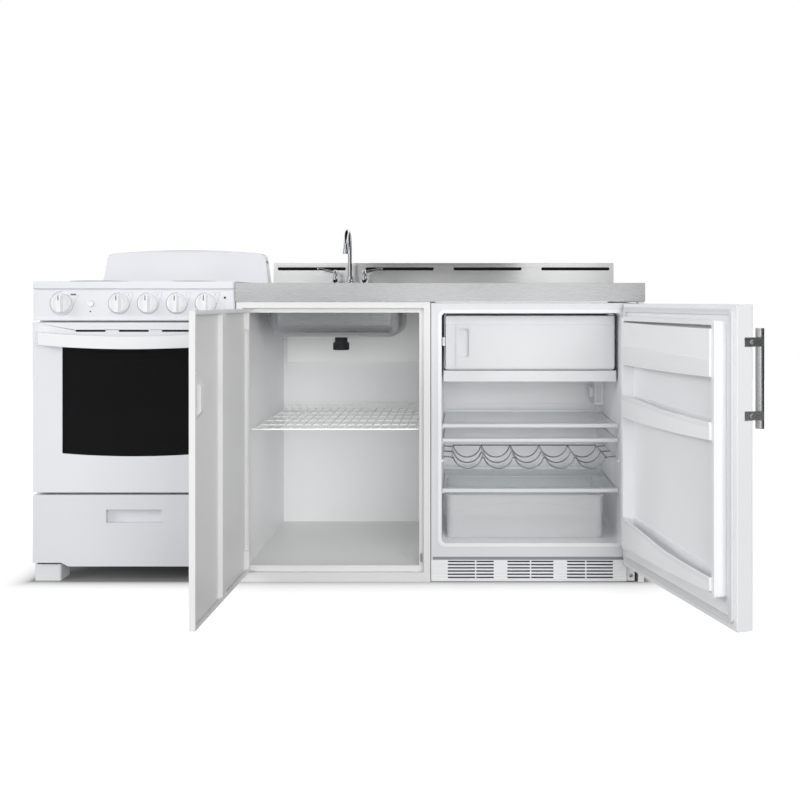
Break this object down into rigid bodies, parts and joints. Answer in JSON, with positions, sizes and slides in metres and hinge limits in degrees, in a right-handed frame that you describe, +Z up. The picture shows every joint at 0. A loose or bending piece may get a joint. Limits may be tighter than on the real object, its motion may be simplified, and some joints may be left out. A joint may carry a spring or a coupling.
{
  "type": "kitchenette unit",
  "caption": "Kitchenette run with an electric coil-hob range, a stainless worktop with sink and faucet, an open sink cabinet and an undercounter refrigerator.",
  "frame": {"origin": "on the floor, under the middle of the run's width and depth, where the middle base rail of the sink cabinet stands", "axes": "+X to the right along the run, +Y towards the wall, +Z up"},
  "size_m": [2.003, 1.2171, 1.088],
  "materials": {
    "range_enamel": "gloss porcelain enamel, cool white",
    "cabinet_paint": "satin white paint",
    "white_plastic": "moulded white plastic",
    "fridge_plastic": "vacuum-formed white plastic",
    "stainless": "brushed stainless steel",
    "chrome": "polished chrome",
    "zinc": "zinc-plated steel",
    "grey_enamel": "dark grey oven enamel",
    "element": "dark heating-element sheath",
    "black_glass": "black oven glass",
    "clear_glass": "clear shelf glass",
    "clear_plastic": "clear moulded plastic",
    "gasket": "soft pale grey gasket",
    "black_plastic": "black moulded plastic",
    "red_lens": "dark red lens",
    "switch_body": "moulded switch housing"
  },
  "bodies": {
    "fixed_unit": {"range_body": "range_enamel", "range_cooktop": "range_enamel", "range_backguard": "range_enamel", "range_control_panel": "range_enamel", "range_electrics": "switch_body", "indicator_lamps": "red_lens", "drip_bowls": "chrome", "coil_elements": "element", "oven_liner": "grey_enamel", "oven_racks": "chrome", "oven_elements": "element", "levelling_feet": "zinc", "cabinet_carcass": "cabinet_paint", "cabinet_frame": "cabinet_paint", "cabinet_floor": "cabinet_paint", "cabinet_rear_brace": "cabinet_paint", "cabinet_fittings": "zinc", "wire_shelf": "white_plastic", "countertop": "stainless", "backsplash": "stainless", "sink_bowl": "stainless", "sink_drain": "black_plastic", "faucet_base": "chrome", "fridge_cabinet": "cabinet_paint", "fridge_liner": "fridge_plastic", "kick_grille": "fridge_plastic", "fridge_hinges": "zinc", "cooling_unit": "black_plastic", "freezer_compartment": "fridge_plastic", "shelf_glass": "clear_glass", "shelf_trims": "fridge_plastic", "bottle_rack": "chrome", "thermostat": "fridge_plastic", "end_panel": "cabinet_paint"},
    "oven_door": {"oven_door_frame": "range_enamel", "oven_door_glass": "black_glass", "oven_door_inner": "grey_enamel", "oven_door_handle": "white_plastic"},
    "storage_drawer": {"drawer_front": "range_enamel", "drawer_tray": "cabinet_paint"},
    "knob_oven": {"knob_oven": "white_plastic"},
    "knob_burner_1": {"knob_burner_1": "white_plastic"},
    "knob_burner_2": {"knob_burner_2": "white_plastic"},
    "knob_burner_3": {"knob_burner_3": "white_plastic"},
    "knob_burner_4": {"knob_burner_4": "white_plastic"},
    "oven_light_button": {"oven_light_button": "white_plastic"},
    "cabinet_door": {"cabinet_door": "cabinet_paint", "cabinet_door_pull": "cabinet_paint"},
    "faucet_spout": {"faucet_spout": "chrome"},
    "faucet_lever_left": {"faucet_lever_left": "chrome"},
    "faucet_lever_right": {"faucet_lever_right": "chrome"},
    "sink_strainer": {"sink_strainer": "chrome"},
    "fridge_door": {"fridge_door": "cabinet_paint", "fridge_door_liner": "fridge_plastic", "door_gasket": "gasket", "door_bins": "white_plastic", "door_handle": "stainless"},
    "freezer_door": {"freezer_door": "fridge_plastic"},
    "crisper": {"crisper": "clear_plastic"},
    "thermostat_dial": {"thermostat_dial": "white_plastic"}
  },
  "joints": [
    {"name": "oven_door_hinge", "type": "hinge", "parent": "fixed_unit", "child": "oven_door", "pos_m": [-0.61225, -0.297, 0.275], "axis": [1, 0, 0], "range_deg": [0, 90]},
    {"name": "drawer_slide", "type": "slide", "parent": "fixed_unit", "child": "storage_drawer", "axis": [0, -1, 0], "range_m": [0, 0.35]},
    {"name": "oven_knob_turn", "type": "hinge", "parent": "fixed_unit", "child": "knob_oven", "pos_m": [-0.82725, -0.305, 0.832], "axis": [0, 1, 0], "range_deg": [0, 300]},
    {"name": "burner_knob_turn_1", "type": "hinge", "parent": "fixed_unit", "child": "knob_burner_1", "pos_m": [-0.65615, -0.305, 0.832], "axis": [0, 1, 0], "continuous": true},
    {"name": "burner_knob_turn_2", "type": "hinge", "parent": "fixed_unit", "child": "knob_burner_2", "pos_m": [-0.56985, -0.305, 0.832], "axis": [0, 1, 0], "continuous": true},
    {"name": "burner_knob_turn_3", "type": "hinge", "parent": "fixed_unit", "child": "knob_burner_3", "pos_m": [-0.48355, -0.305, 0.832], "axis": [0, 1, 0], "continuous": true},
    {"name": "burner_knob_turn_4", "type": "hinge", "parent": "fixed_unit", "child": "knob_burner_4", "pos_m": [-0.39725, -0.305, 0.832], "axis": [0, 1, 0], "continuous": true},
    {"name": "oven_light_press", "type": "slide", "parent": "fixed_unit", "child": "oven_light_button", "axis": [0, 1, 0], "range_m": [0, 0.003], "stiffness_N_per_m": 150},
    {"name": "cabinet_door_hinge", "type": "hinge", "parent": "fixed_unit", "child": "cabinet_door", "pos_m": [-0.27825, -0.3, 0.423], "axis": [0, 0, -1], "range_deg": [-92, 0]},
    {"name": "spout_swivel", "type": "hinge", "parent": "fixed_unit", "child": "faucet_spout", "pos_m": [-0.02425, 0.202, 0.893], "axis": [0, 0, 1], "range_deg": [-110, 110]},
    {"name": "lever_left_turn", "type": "hinge", "parent": "fixed_unit", "child": "faucet_lever_left", "pos_m": [-0.07525, 0.202, 0.893], "axis": [0, 0, 1], "range_deg": [0, 90]},
    {"name": "lever_right_turn", "type": "hinge", "parent": "fixed_unit", "child": "faucet_lever_right", "pos_m": [0.02675, 0.202, 0.893], "axis": [0, 0, -1], "range_deg": [0, 90]},
    {"name": "strainer_lift", "type": "slide", "parent": "fixed_unit", "child": "sink_strainer", "axis": [0, 0, 1], "range_m": [0, 0.008]},
    {"name": "fridge_door_hinge", "type": "hinge", "parent": "fixed_unit", "child": "fridge_door", "pos_m": [0.87225, -0.337, 0.444], "axis": [0, 0, 1], "range_deg": [-106, 12]},
    {"name": "freezer_door_hinge", "type": "hinge", "parent": "fixed_unit", "child": "freezer_door", "pos_m": [0.82225, -0.238, 0.712], "axis": [0, 0, 1], "range_deg": [0, 70]},
    {"name": "crisper_slide", "type": "slide", "parent": "fixed_unit", "child": "crisper", "axis": [0, -1, 0], "range_m": [0, 0.25]},
    {"name": "thermostat_turn", "type": "hinge", "parent": "fixed_unit", "child": "thermostat_dial", "pos_m": [0.81375, 0.11, 0.53], "axis": [1, 0, 0], "range_deg": [0, 270]}
  ]
}
